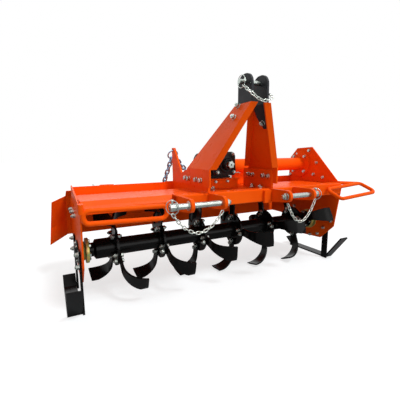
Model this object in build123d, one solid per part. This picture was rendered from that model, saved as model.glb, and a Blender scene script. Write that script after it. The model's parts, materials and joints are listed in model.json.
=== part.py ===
from build123d import *
from math import ceil, radians, sin, tan
import os

# Rotary tiller for a tractor's three-point hitch, with a side drive and a hinged tail board.
# X runs along the rotor to the drive side, Y to the rear, Z up, all in millimetres.
# Everything is placed about the rotor's axis, and export moves it to stand on the floor.

# ---- Rotor ----
FLANGE_COUNT = 6
FLANGE_PITCH = 208.0
FLANGE_R = 84.0
FLANGE_T = 10.0
TUBE_R = 38.0
TUBE_WALL = 6.0
FLANGE_FIT = 0.05
COLLAR_R = 43.0
COLLAR_LENGTH = 78.0
HUB_R = 50.0
HUB_T = 12.0
HUB_INSET = 34.0
TUBE_INSET = 62.0
JOURNAL_R = 20.0
BLADES_PER_FLANGE = 4
BLADE_TIP_R = 212.0
BLADE_SWEEP_R = 214.0
BLADE_T = 8.0
BLADE_SHANK_W = 44.0
BLADE_W = 80.0
BLADE_ROOT_R = 52.0
BLADE_BEND_R = 90.0
BLADE_REACH = 104.0
BLADE_HOOK = 6.0
FIRST_BLADE_DEG = 35.0
SPIRAL_STEP_DEG = -11.5

# ---- End plates and deck ----
PLATE_INNER_X = 666.0
PLATE_T = 6.0
DECK_T = 3.0
DECK_TOP_Z = 230.0
DECK_CREST_Y = 60.0
DECK_FALL_Y = -120.0
DECK_REAR_Y = 185.0
DECK_REAR_Z = 214.0
DECK_STRIP_TOP_Z = 254.0
DECK_FRONT_Z = 216.0
DECK_LIP_Y = -174.0
DECK_LIP_Z = 209.0
DECK_LIP = 22.0

# ---- Front beam and lower hitch ----
HITCH_X = 10.0
BEAM_FRONT_Y = -212.0
BEAM_SIZE = 60.0
BEAM_WALL = 5.0
BEAM_BOTTOM_Z = 178.0
BEAM_LEFT_X = -305.0
PIN_Y = -322.0
PIN_Z = 214.0
PIN_R = 11.0
PIN_FIT = 0.05
EAR_T = 14.0
EAR_INNER = 166.0
EAR_OUTER = 308.0
EAR_NOSE_R = 26.0
LEFT_PIN_TAIL = 84.0
RIGHT_PIN_TAIL = 40.0
LINCH_R = 3.0
LINCH_INSET = 12.0
LINCH_FIT = 0.05
LINCH_RING_GAP = 15.0

# ---- Mast ----
BRACKET_X = 170.0
BRACKET_T = 10.0
BRACKET_TOP_Z = 326.0
BRACKET_REAR_Y = 14.0
LEG_T = 6.0
LEG_BEND_Z = 337.0
LEG_TOP_Z = 603.0
LEG_FOOT_Z = 262.0
LEG_FLANGE = 34.0
TOP_EAR_X = 38.0
TOP_EAR_T = 10.0
EAR_CROWN_R = 32.0
TOP_EAR_FRONT_Y = -323.0
TOP_EAR_REAR_Y = -231.0
TOP_EAR_ROUND = 40.0
EAR_LAP = 96.0
EYE_STUD_UP = 36.0
TOP_PIN_Y = -280.0
TOP_PIN_Z = 684.0
TOP_PIN_R = 9.5
TOP_PIN_TAIL = 30.0
HORN_TIP_Y = 190.0
HORN_TIP_Z = 432.0
HORN_TIP_W = 28.0
CHAIN_EYE_Y = 176.0
CHAIN_EYE_Z = 418.0
CHAIN_EYE_R = 6.5

# ---- Gearbox and drive ----
DRIVE_Y = 95.0
DRIVE_Z = 333.0
DRIVE_TUBE_R = 38.0
DRIVE_TUBE_WALL = 5.0
DRIVE_FLANGE_R = 54.0
GEARBOX_HALF = 66.0
GEARBOX_R = 70.0
GEARBOX_FRONT_Y = -62.0
INPUT_Z = 350.0
INPUT_R = 48.0
COVER_T = 12.0
COVER_BOLT_X = 46.0
COVER_BOLT_Z = 37.0
BOSS_R = 15.0
BOSS_HEIGHT = 20.0
SEAT_TOP_Z = 278.0
SEAT_T = 6.0
SEAT_LENGTH = 170.0
SEAT_WIDTH = 190.0
PTO_R = 17.5
PTO_COLLAR_R = 20.0
PTO_GROOVE = 4.0
PTO_LENGTH = 54.0
PTO_FIT = 0.05
BELL_R = 38.0
BELL_T = 4.0
BELL_LENGTH = 52.0
CASE_RIM = 8.0
CASE_RIM_T = 6.0
CASE_T = 40.0

# ---- Tail board ----
HINGE_Y = 204.0
HINGE_Z = 244.0
HINGE_R = 7.0
HINGE_FIT = 0.1
KNUCKLE_R = 12.0
KNUCKLE_LENGTH = 40.0
EAR_LENGTH = 24.0
HINGE_PLACES = (-520.0, -180.0, 180.0, 520.0)
BOARD_T = 3.0
BOARD_HALF = 692.0
BOARD_TOP_Y = 212.0
BOARD_TOP_Z = 232.0
BOARD_BEND_Y = 318.0
BOARD_BEND_Z = 196.0
BOARD_LOW_Y = 366.0
BOARD_LOW_Z = 66.0
BOARD_LIP_Y = 371.0
BOARD_LIP_Z = -14.0
WING_REACH = 92.0
WING_TOP_REACH = 63.0
LUG_HEIGHT = 30.0
LUG_T = 8.0
LUG_DOWN = 66.0
LUG_LEFT_X = -172.0
LUG_RIGHT_X = 105.0

# ---- Skids, guards and chains ----
SKID_W = 56.0
SKID_T = 8.0
SKID_GAP = 8.0
SOLE_CLEARANCE = 5.0
STRAP_W = 36.0
ROD_R = 9.5
ROD_BEND = 22.0
ROD_SIDES = 16
PIN_CHAIN = (24.0, 14.0, 3.4)
TAIL_CHAIN = (46.0, 28.0, 7.5)
CHAIN_RING_R = 26.0
LINK_PLAY = 0.4
LINK_SEAT = 0.7
CHAIN_CLEARANCE = 5.0
PIN_CHAIN_END = 2.5
LEFT_SAG = 83.0
RIGHT_SAG = 97.0

SOLE_Z = -(BLADE_SWEEP_R + SOLE_CLEARANCE)
PLATE_OUTER_X = PLATE_INNER_X + PLATE_T
BEAM_TOP_Z = BEAM_BOTTOM_Z + BEAM_SIZE
BEAM_REAR_Y = BEAM_FRONT_Y + BEAM_SIZE
TOP_EAR_TOP_Z = TOP_PIN_Z + EAR_CROWN_R
COLLAR_START = PLATE_INNER_X - TUBE_INSET - COLLAR_LENGTH
LINCH_RING_R = PIN_R + LINCH_RING_GAP
LINK_WRAP = LINCH_R / 2 + PIN_CHAIN[2] + LINK_SEAT
ALONG_X = (1, 0, 0)

parts = {}


# ---- Shapes that several pieces share ----
def spread(x_low, x_high, section):
    """Section drawn in Y and Z, extruded along X from x_low to x_high."""
    return extrude(Plane.YZ.offset(x_low) * section, amount=x_high - x_low, dir=ALONG_X)


def outline(points, corner=0.0):
    """Closed outline with its corners rounded."""
    shape = Polygon(*points, align=None)
    return fillet(shape.vertices(), corner) if corner else shape


def bar_x(x_low, x_high, y, z, radius):
    """Round bar along X."""
    return spread(x_low, x_high, Pos(y, z) * Circle(radius))


def ring_x(x_low, x_high, y, z, outer, inner):
    """Round tube along X."""
    return spread(x_low, x_high, Pos(y, z) * (Circle(outer) - Circle(inner)))


def strip(points, thickness):
    """Section of a folded sheet: a line thickened on its left."""
    return make_face(offset(Polyline(*points), amount=thickness, side=Side.LEFT))


def loop(points):
    """Round rod bent into a closed loop with rounded corners, starting in the middle of its last side."""
    corners = [Vector(*point) for point in points]
    edges = []
    last = (corners[-1] + corners[0]) / 2
    for n, corner in enumerate(corners):
        back = (corners[n - 1] - corner).normalized()
        ahead = (corners[(n + 1) % len(corners)] - corner).normalized()
        half = back.get_angle(ahead) / 2
        inward = (back + ahead).normalized()
        start = corner + back * (ROD_BEND / tan(radians(half)))
        end = corner + ahead * (ROD_BEND / tan(radians(half)))
        crown = corner + inward * (ROD_BEND / sin(radians(half)) - ROD_BEND)
        edges += [Line(last, start), ThreePointArc(start, crown, end)]
        last = end
    edges.append(Line(last, (corners[-1] + corners[0]) / 2))
    path = Wire(edges)
    return sweep(Plane(path @ 0, z_dir=path % 0) * RegularPolygon(ROD_R, ROD_SIDES), path=path)


def link(length, width, wire):
    """Oval chain link, long along X and flat in XY."""
    bend = 0.3 * width
    outer = chamfer(Rectangle(length, width).vertices(), bend)
    inner = chamfer(Rectangle(length - 2 * wire, width - 2 * wire).vertices(), bend - 0.6 * wire)
    return extrude(outer - inner, amount=wire / 2, both=True)


def flat_ring(radius, wire):
    """Ring of square wire about Z, measured to the middle of the wire."""
    return extrude(Circle(radius + wire / 2) - Circle(radius - wire / 2), amount=wire / 2, both=True)


def chain(route, size, across):
    """Links threaded along a line in space, each a quarter turn from the last."""
    length, width, wire = size
    reach = route.length - length
    count = ceil(reach / (length - 2 * wire - LINK_PLAY)) + 1
    one = link(length, width, wire)
    links = []
    for n in range(count):
        where = (length / 2 + reach * n / (count - 1)) / route.length
        heading = route % where
        frame = Plane(route @ where, x_dir=heading, z_dir=heading.cross(Vector(*across)))
        links.append(frame * Rot(90 * (n % 2), 0, 0) * one)
    return links


def sag(start, end, drop):
    """Parabola that a chain hangs in between two places."""
    a, b = Vector(*start), Vector(*end)
    return Bezier(a, (a + b) / 2 - Vector(0, 0, 2 * drop), b)


# ---- Rotor ----
def flange_x(index):
    return (index - (FLANGE_COUNT - 1) / 2) * FLANGE_PITCH


def blade(side):
    """Sickle blade that points to -Y: a flat shank that curls over to one side into a wide cutting face."""
    x0 = FLANGE_T / 2 + BLADE_T / 2
    mid_r = BLADE_TIP_R - BLADE_T / 2
    path = FilletPolyline((x0, -BLADE_ROOT_R), (x0, -mid_r), (BLADE_REACH, -mid_r), radius=BLADE_BEND_R)
    ribbon = make_face(offset(path, amount=BLADE_T / 2, side=Side.BOTH))
    bar = extrude(ribbon, amount=BLADE_W, both=True)
    shank = BLADE_SHANK_W / 2
    edge = BLADE_SHANK_W - BLADE_W
    middle = -(BLADE_ROOT_R + BLADE_TIP_R) / 2
    far = -BLADE_TIP_R - BLADE_T
    root_low, root_high = (-BLADE_ROOT_R, -shank), (-BLADE_ROOT_R, shank)
    tip_low, tip_high = (far, edge - shank), (far, shank + BLADE_HOOK)
    sickle = make_face([Line(root_high, root_low), ThreePointArc(root_low, (middle, -shank - 1), tip_low),
                        Line(tip_low, tip_high), ThreePointArc(tip_high, (middle, shank - 4), root_high)])
    taper = Polygon((-BLADE_REACH, edge - 2 * shank), (BLADE_REACH, edge - shank), (BLADE_REACH - BLADE_T, shank),
                    (-BLADE_REACH, 2 * shank), align=None)
    bar = bar & extrude(Plane.YZ * sickle, amount=2 * BLADE_REACH, both=True)
    bar = bar & extrude(Plane.XZ * taper, amount=2 * BLADE_TIP_R, both=True)
    bar = bar & bar_x(-2 * BLADE_REACH, 2 * BLADE_REACH, 0, 0, BLADE_SWEEP_R)
    return bar if side > 0 else mirror(bar, about=Plane.YZ)


def rotor_end(side):
    """Collar, neck, hub disc and journal at one end of the rotor tube."""
    tube_end = PLATE_INNER_X - TUBE_INSET
    neck_r = TUBE_R - 8
    hub_start = PLATE_INNER_X - HUB_INSET
    profile = [(COLLAR_START, 0), (COLLAR_START, COLLAR_R), (tube_end, COLLAR_R), (tube_end + 8, neck_r),
               (hub_start, neck_r), (hub_start, HUB_R), (hub_start + HUB_T, HUB_R),
               (hub_start + HUB_T, JOURNAL_R), (PLATE_OUTER_X + 2, JOURNAL_R), (PLATE_OUTER_X + 2, 0)]
    solid = revolve(make_face(Polyline(*profile, close=True)), axis=Axis.X)
    return solid if side > 0 else mirror(solid, about=Plane.YZ)


def make_rotor():
    tube = ring_x(-COLLAR_START - 1, COLLAR_START + 1, 0, 0, TUBE_R, TUBE_R - TUBE_WALL)
    parts["rotor_tube"] = tube + rotor_end(1) + rotor_end(-1)
    flanges = []
    for index in range(FLANGE_COUNT):
        x = flange_x(index)
        flanges.append(ring_x(x - FLANGE_T / 2, x + FLANGE_T / 2, 0, 0, FLANGE_R, TUBE_R + FLANGE_FIT))
        blades = []
        for n in range(BLADES_PER_FLANGE):
            side = 1 if n % 2 == 0 else -1
            angle = FIRST_BLADE_DEG + SPIRAL_STEP_DEG * index + 360 / BLADES_PER_FLANGE * n
            blades.append(Pos(x, 0, 0) * Rot(angle, 0, 0) * blade(side))
        parts[f"blade_set_{index + 1}"] = Compound(blades)
    parts["blade_flanges"] = Compound(flanges)


def make_bearings():
    """Flanged bearing housings that carry the journals on the end plates' inner faces."""
    for name, side in (("left", -1), ("right", 1)):
        profile = [(PLATE_INNER_X - 20, JOURNAL_R + 0.1), (PLATE_INNER_X - 20, 38), (PLATE_INNER_X - 8, 44),
                   (PLATE_INNER_X - 8, 58), (PLATE_INNER_X, 58), (PLATE_INNER_X, JOURNAL_R + 0.1)]
        housing = revolve(make_face(Polyline(*profile, close=True)), axis=Axis.X)
        parts[f"rotor_bearing_{name}"] = housing if side > 0 else mirror(housing, about=Plane.YZ)


    cap = [(PLATE_OUTER_X, 0), (PLATE_OUTER_X, HUB_R), (PLATE_OUTER_X + 6, HUB_R), (PLATE_OUTER_X + 6, HUB_R - 14),
           (PLATE_OUTER_X + 16, HUB_R - 22), (PLATE_OUTER_X + 16, 0)]
    dome = revolve(make_face(Polyline(*cap, close=True)), axis=Axis.X)
    dome -= bar_x(PLATE_OUTER_X - 1, PLATE_OUTER_X + 6, 0, 0, JOURNAL_R + 6)
    parts["bearing_cap"] = mirror(dome, about=Plane.YZ)


# ---- Frame ----
def plate_points():
    """Outline that both end plates share, from the rear top corner round to the front top."""
    return [(190, 262), (198, 212), (298, 178), (350, 56), (352, -5), (250, -5), (63, -111), (-92, -101),
            (-179, -14), (BEAM_FRONT_Y, BEAM_BOTTOM_Z + 42)]


def make_plates():
    hub = Circle(JOURNAL_R + 6)
    left = outline(plate_points(), 6) - hub
    parts["left_end_plate"] = spread(-PLATE_OUTER_X, -PLATE_INNER_X, left)
    drive_hole = Pos(DRIVE_Y, DRIVE_Z) * Circle(DRIVE_TUBE_R - 8)
    crown = [(DRIVE_Y - 88, DRIVE_Z + 103), (DRIVE_Y + 29, DRIVE_Z + 97), (DRIVE_Y + 84, DRIVE_Z + 41)]
    right = outline(plate_points() + crown, 6) - hub - drive_hole
    parts["right_end_plate"] = spread(PLATE_INNER_X, PLATE_OUTER_X, right)


def case_outline(margin):
    """Oval round the drive tube and the rotor, larger or smaller by a margin."""
    return make_hull((Pos(DRIVE_Y, DRIVE_Z) * Circle(2 * DRIVE_TUBE_R + margin)).edges() + Circle(84 + margin).edges())


def make_case():
    """Side drive case: a pressed oval cover over the gears, from the drive tube down to the rotor."""
    rim = spread(PLATE_OUTER_X, PLATE_OUTER_X + CASE_RIM_T, case_outline(CASE_RIM))
    cover = spread(PLATE_OUTER_X, PLATE_OUTER_X + CASE_T, case_outline(-CASE_RIM))
    front = cover.faces().sort_by(Axis.X)[-1]
    cover = chamfer(front.edges(), CASE_T / 4)
    recess = bar_x(PLATE_OUTER_X - 1, PLATE_OUTER_X + CASE_RIM_T, 0, 0, JOURNAL_R + 6)
    parts["side_drive_case"] = rim + cover - recess


def deck_line():
    """Top surface of the deck, from the rear strip forward to the beam."""
    return [(DECK_REAR_Y, DECK_REAR_Z), (DECK_CREST_Y, DECK_TOP_Z), (DECK_FALL_Y, DECK_TOP_Z),
            (BEAM_REAR_Y, DECK_FRONT_Z)]


def make_deck():
    strip_top = (DECK_REAR_Y, DECK_STRIP_TOP_Z)
    deck = spread(BEAM_LEFT_X, PLATE_INNER_X, strip([strip_top] + deck_line(), DECK_T))
    lip = [(DECK_LIP_Y, DECK_LIP_Z), (DECK_LIP_Y, DECK_LIP_Z - DECK_LIP)]
    deck += spread(-PLATE_INNER_X, BEAM_LEFT_X, strip([strip_top] + deck_line() + lip, DECK_T))
    parts["deck"] = deck


def make_beam():
    section = fillet(Rectangle(BEAM_SIZE, BEAM_SIZE).vertices(), 6)
    bore = BEAM_SIZE - 2 * BEAM_WALL
    section -= Rectangle(bore, bore)
    centre = Pos(BEAM_FRONT_Y + BEAM_SIZE / 2, BEAM_BOTTOM_Z + BEAM_SIZE / 2)
    beam = spread(BEAM_LEFT_X, PLATE_INNER_X, centre * section)
    block = Pos(HITCH_X + 137, BEAM_FRONT_Y - 7, BEAM_BOTTOM_Z + 25) * Box(40, 14, 58)
    parts["front_beam"] = beam + block


def hitch_ear(x_mid):
    nose = Pos(PIN_Y, PIN_Z) * Circle(EAR_NOSE_R)
    root = Polygon((BEAM_FRONT_Y, BEAM_BOTTOM_Z), (BEAM_FRONT_Y, BEAM_TOP_Z),
                   (BEAM_FRONT_Y - 30, BEAM_TOP_Z), (BEAM_FRONT_Y - 30, BEAM_BOTTOM_Z), align=None)
    shape = make_hull(nose.edges() + root.edges())
    bore = Pos(PIN_Y, PIN_Z) * Circle(PIN_R + PIN_FIT)
    return spread(x_mid - EAR_T / 2, x_mid + EAR_T / 2, shape - bore)


def linch_pin(host_r):
    """Upright linch pin through a host pin of that radius along X, with its spring ring round the host."""
    shank = Pos(0, 0, 3) * Cylinder(LINCH_R, 2 * host_r + 16)
    head = Pos(0, 0, host_r + 12) * Cylinder(2 * LINCH_R, 10)
    return shank + head + Rot(0, 90, 0) * flat_ring(host_r + LINCH_RING_GAP, LINCH_R)


def make_hitch():
    for name, side in (("left", -1), ("right", 1)):
        inner = HITCH_X + side * EAR_INNER
        outer = HITCH_X + side * EAR_OUTER
        parts[f"hitch_ears_{name}"] = Compound([hitch_ear(inner), hitch_ear(outer)])
    left_end = HITCH_X - EAR_OUTER - LEFT_PIN_TAIL
    right_end = HITCH_X + EAR_OUTER + RIGHT_PIN_TAIL
    left_linch_x = left_end + LINCH_INSET
    right_linch_x = right_end - LINCH_INSET
    left_pin = bar_x(left_end, HITCH_X - EAR_INNER + 14, PIN_Y, PIN_Z, PIN_R)
    right_pin = bar_x(HITCH_X + EAR_INNER - 22, right_end, PIN_Y, PIN_Z, PIN_R)
    cross = Cylinder(LINCH_R + LINCH_FIT, 3 * PIN_R)
    parts["hitch_pin_left"] = left_pin - Pos(left_linch_x, PIN_Y, PIN_Z) * cross
    parts["hitch_pin_right"] = right_pin - Pos(right_linch_x, PIN_Y, PIN_Z) * cross
    parts["linch_pin_left"] = Pos(left_linch_x, PIN_Y, PIN_Z) * linch_pin(PIN_R)
    parts["linch_pin_right"] = Pos(right_linch_x, PIN_Y, PIN_Z) * linch_pin(PIN_R)
    ring_z = PIN_Z - LINCH_RING_R
    ear_z = PIN_Z - EAR_NOSE_R - PIN_CHAIN_END
    hook_z = ring_z + 0.87 * LINK_WRAP
    left_run = sag((left_linch_x - LINK_WRAP / 2, PIN_Y, hook_z), (HITCH_X - EAR_INNER, PIN_Y, ear_z), LEFT_SAG)
    right_run = sag((right_linch_x + LINK_WRAP / 2, PIN_Y, hook_z), (HITCH_X + EAR_INNER, PIN_Y, ear_z), RIGHT_SAG)
    parts["pin_chain_left"] = Compound(chain(left_run, PIN_CHAIN, ALONG_X))
    parts["pin_chain_right"] = Compound(chain(right_run, PIN_CHAIN, ALONG_X))


def leg_section(x_mid, y_front, y_rear, side):
    """C section in plan, open towards the hitch's middle."""
    low, high = sorted((x_mid + side * LEG_T / 2, x_mid - side * (LEG_FLANGE - LEG_T / 2)))
    outer = Polygon((low, y_front), (high, y_front), (high, y_rear), (low, y_rear), align=None)
    low, high = sorted((x_mid - side * LEG_T / 2, x_mid - side * (LEG_FLANGE + LEG_T)))
    inner = Polygon((low, y_front + LEG_T), (high, y_front + LEG_T), (high, y_rear - LEG_T),
                    (low, y_rear - LEG_T), align=None)
    return outer - inner


def top_ear(side):
    """Top link ear: upright at the pin, then bent to lie along the inside of its leg."""
    face_x = TOP_EAR_X + TOP_EAR_T / 2
    lean = (BRACKET_X + BRACKET_T / 2 - face_x) / (LEG_TOP_Z - LEG_BEND_Z)
    low_z = LEG_TOP_Z - EAR_LAP
    line = [(face_x, TOP_EAR_TOP_Z), (face_x, LEG_TOP_Z), (face_x + lean * EAR_LAP, low_z)]
    section = make_face(offset(Polyline(*line), amount=TOP_EAR_T, side=Side.RIGHT))
    plate = extrude(Plane.XZ * section, amount=2 * abs(TOP_EAR_FRONT_Y), both=True)
    shape = outline([(TOP_EAR_FRONT_Y, TOP_EAR_TOP_Z), (TOP_EAR_REAR_Y, TOP_EAR_TOP_Z),
                     (TOP_EAR_REAR_Y, LEG_TOP_Z - EAR_LAP / 2), (TOP_EAR_REAR_Y - 19, low_z),
                     (TOP_EAR_FRONT_Y + 37, low_z), (TOP_EAR_FRONT_Y, LEG_TOP_Z)])
    tops = [v for v in shape.vertices() if v.Y > TOP_EAR_TOP_Z - 1]
    shape = fillet(tops, TOP_EAR_ROUND)
    plate = plate & spread(0, BRACKET_X, shape)
    plate -= bar_x(0, BRACKET_X, TOP_PIN_Y, TOP_PIN_Z, TOP_PIN_R + PIN_FIT)
    if side > 0:
        plate += bar_x(face_x - 1, face_x + 14, TOP_EAR_FRONT_Y + 9, LEG_TOP_Z + EYE_STUD_UP, LINCH_R)
    return Pos(HITCH_X, 0, 0) * (plate if side > 0 else mirror(plate, about=Plane.YZ))


def make_mast():
    foot_x = BRACKET_X + (BRACKET_T + LEG_T) / 2
    top_x = TOP_EAR_X + (TOP_EAR_T + LEG_T) / 2
    front = [(BEAM_FRONT_Y, BEAM_TOP_Z), (BEAM_FRONT_Y, 300), (BEAM_FRONT_Y + 10, BRACKET_TOP_Z)]
    seat = [(DECK_FALL_Y, DECK_TOP_Z), (BEAM_REAR_Y, DECK_FRONT_Z), (BEAM_REAR_Y, BEAM_TOP_Z)]
    horn = [(BRACKET_REAR_Y, BRACKET_TOP_Z), (70, 306), (HORN_TIP_Y - HORN_TIP_W, HORN_TIP_Z), (HORN_TIP_Y, HORN_TIP_Z),
            (DECK_REAR_Y, DECK_STRIP_TOP_Z + 8), (DECK_REAR_Y, DECK_REAR_Z), (DECK_CREST_Y, DECK_TOP_Z)]
    short = [(BRACKET_REAR_Y, BRACKET_TOP_Z), (BRACKET_REAR_Y, DECK_TOP_Z)]
    eye = bar_x(HITCH_X - BRACKET_X - BRACKET_T, HITCH_X, CHAIN_EYE_Y, CHAIN_EYE_Z, CHAIN_EYE_R)
    foot = [(-236, LEG_BEND_Z), (-18, LEG_BEND_Z), (BRACKET_REAR_Y, 300), (BRACKET_REAR_Y, LEG_FOOT_Z),
            (-236, LEG_FOOT_Z)]
    for name, side, rear in (("left", -1, horn), ("right", 1, short)):
        x = HITCH_X + side * BRACKET_X
        web_x = HITCH_X + side * foot_x
        plate = spread(x - BRACKET_T / 2, x + BRACKET_T / 2, outline(front + rear + seat))
        parts[f"mast_bracket_{name}"] = plate - eye
        low = leg_section(web_x, -236, -18, side)
        high = leg_section(HITCH_X + side * top_x, -330, -222, side)
        leg = loft([Pos(0, 0, LEG_BEND_Z) * low, Pos(0, 0, LEG_TOP_Z) * high], ruled=True)
        leg += spread(web_x - LEG_T / 2, web_x + LEG_T / 2, outline(foot))
        parts[f"mast_leg_{name}"] = leg
        parts[f"top_link_ear_{name}"] = top_ear(side)
    half = TOP_EAR_X + TOP_EAR_T / 2
    linch_x = HITCH_X - half - TOP_PIN_TAIL + LINCH_INSET
    pin = bar_x(linch_x - LINCH_INSET, HITCH_X + half + 12, TOP_PIN_Y, TOP_PIN_Z, TOP_PIN_R)
    pin += bar_x(HITCH_X + half + 2, HITCH_X + half + 12, TOP_PIN_Y, TOP_PIN_Z, 1.6 * TOP_PIN_R)
    across = Pos(linch_x, TOP_PIN_Y, TOP_PIN_Z) * Rot(90, 0, 0)
    parts["top_link_pin"] = pin - across * Cylinder(LINCH_R + LINCH_FIT, 3 * TOP_PIN_R)
    parts["linch_pin_top"] = across * linch_pin(TOP_PIN_R)
    ring_y = TOP_PIN_Y - 0.7 * (TOP_PIN_R + LINCH_RING_GAP)
    ring_z = TOP_PIN_Z - 0.7 * (TOP_PIN_R + LINCH_RING_GAP)
    front_y = TOP_EAR_FRONT_Y - PIN_CHAIN[1] / 2 - 6
    stud_z = LEG_TOP_Z + EYE_STUD_UP
    stud_x = HITCH_X + half + 10
    route = Spline((linch_x - 0.45 * LINK_WRAP, ring_y + 0.35 * LINK_WRAP, ring_z + 0.82 * LINK_WRAP),
                   (linch_x + 3, ring_y - 24, stud_z + 8), (linch_x + 20, front_y, stud_z - 12),
                   (HITCH_X, front_y, stud_z - 30), (HITCH_X + half - 10, front_y, stud_z - 26),
                   (stud_x, front_y + 3, stud_z - 14), (stud_x, TOP_EAR_FRONT_Y + 6, stud_z - 1.8),
                   tangents=[(0.45, -0.35, -0.82), (0, 0.75, 0.65)])
    parts["pin_chain_top"] = Compound(chain(route, PIN_CHAIN, (1, 0.4, 0.4)))


def make_seat():
    """Raised seat on the deck that the gearbox stands on."""
    seat_y = DRIVE_Y - 45
    hollow = Rectangle(SEAT_WIDTH - 2 * SEAT_T, SEAT_LENGTH - 2 * SEAT_T)
    walls = Rectangle(SEAT_WIDTH, SEAT_LENGTH) - hollow
    seat = extrude(Plane.XY.offset(SEAT_TOP_Z) * Pos(HITCH_X, seat_y) * walls, amount=-SEAT_WIDTH / 2)
    seat += Pos(HITCH_X, seat_y, SEAT_TOP_Z - SEAT_T / 2) * Box(SEAT_WIDTH, SEAT_LENGTH, SEAT_T)
    under = Polygon(*deck_line(), (BEAM_REAR_Y, 0), (DECK_REAR_Y, 0), align=None)
    parts["gearbox_seat"] = seat - spread(HITCH_X - SEAT_WIDTH, HITCH_X + SEAT_WIDTH, under)


def make_gearbox():
    """Cast housing: a barrel along the drive shaft, an input snout to the front and a foot on the seat."""
    barrel = bar_x(HITCH_X - GEARBOX_HALF, HITCH_X + GEARBOX_HALF, DRIVE_Y, DRIVE_Z, GEARBOX_R)
    barrel += bar_x(HITCH_X - GEARBOX_HALF - 8, HITCH_X, DRIVE_Y, DRIVE_Z, DRIVE_FLANGE_R)
    forward = Pos(HITCH_X, 0, INPUT_Z) * Rot(90, 0, 0)
    length = DRIVE_Y - GEARBOX_FRONT_Y
    snout = forward * Pos(0, 0, length / 2 - DRIVE_Y) * Cylinder(INPUT_R, length)
    corners = Sketch() + [Pos(x, z) * Circle(14) for x in (-COVER_BOLT_X, COVER_BOLT_X)
                          for z in (-COVER_BOLT_Z, COVER_BOLT_Z)]
    cover = extrude(make_hull(corners.edges()), amount=-COVER_T)
    snout += forward * Pos(0, 0, -GEARBOX_FRONT_Y) * cover
    foot = Pos(HITCH_X, DRIVE_Y - 25, SEAT_TOP_Z + 7) * Box(2 * GEARBOX_HALF, SEAT_LENGTH - 40, 14)
    neck = Pos(HITCH_X, DRIVE_Y - 35, (SEAT_TOP_Z + DRIVE_Z) / 2) * Box(
        GEARBOX_HALF, SEAT_LENGTH - 60, DRIVE_Z - SEAT_TOP_Z)
    boss = Pos(HITCH_X + BOSS_R, DRIVE_Y - 40, INPUT_Z + INPUT_R) * Cylinder(BOSS_R, 2 * BOSS_HEIGHT)
    bore = forward * Pos(0, 0, -GEARBOX_FRONT_Y) * Cylinder(PTO_COLLAR_R + PTO_FIT, 60)
    under = Pos(HITCH_X, DRIVE_Y, SEAT_TOP_Z - GEARBOX_R) * Box(4 * GEARBOX_R, 4 * GEARBOX_R, 2 * GEARBOX_R)
    parts["gearbox"] = barrel + snout + foot + neck + boss - bore - under
    bell = Cylinder(BELL_R, BELL_LENGTH) - Cylinder(BELL_R - BELL_T, BELL_LENGTH)
    parts["pto_guard"] = forward * Pos(0, 0, BELL_LENGTH / 2 - GEARBOX_FRONT_Y) * bell
    shoulder = GEARBOX_FRONT_Y - 2
    groove = shoulder - PTO_GROOVE
    tip = groove - PTO_LENGTH
    profile = [(0, GEARBOX_FRONT_Y + 28), (PTO_COLLAR_R, GEARBOX_FRONT_Y + 28), (PTO_COLLAR_R, shoulder),
               (PTO_R - 2, shoulder), (PTO_R - 2, groove), (PTO_R, groove), (PTO_R, tip), (PTO_R - 2, tip - 2), (0, tip - 2)]
    shaft = revolve(make_face(Polyline(*profile, close=True)), axis=Axis.Y)
    parts["pto_shaft"] = Pos(HITCH_X, 0, INPUT_Z) * shaft


def make_drive_tube():
    x_low = HITCH_X + GEARBOX_HALF
    tube = ring_x(x_low, PLATE_INNER_X, DRIVE_Y, DRIVE_Z, DRIVE_TUBE_R, DRIVE_TUBE_R - DRIVE_TUBE_WALL)
    for low, high, radius in ((x_low, x_low + 12, DRIVE_FLANGE_R), (PLATE_INNER_X - 10, PLATE_INNER_X, 80)):
        tube += ring_x(low, high, DRIVE_Y, DRIVE_Z, radius, DRIVE_TUBE_R - 1)
    parts["drive_tube"] = tube


# ---- Tail board ----
def on_board(down, off):
    """Point in Y and Z that lies down the board from its bend, and off its outer face."""
    run = Vector(BOARD_LOW_Y - BOARD_BEND_Y, BOARD_LOW_Z - BOARD_BEND_Z).normalized()
    face = Vector(BOARD_BEND_Y, BOARD_BEND_Z) + run * down + Vector(-run.Y, run.X) * (BOARD_T + off)
    return (face.X, face.Y)


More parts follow.
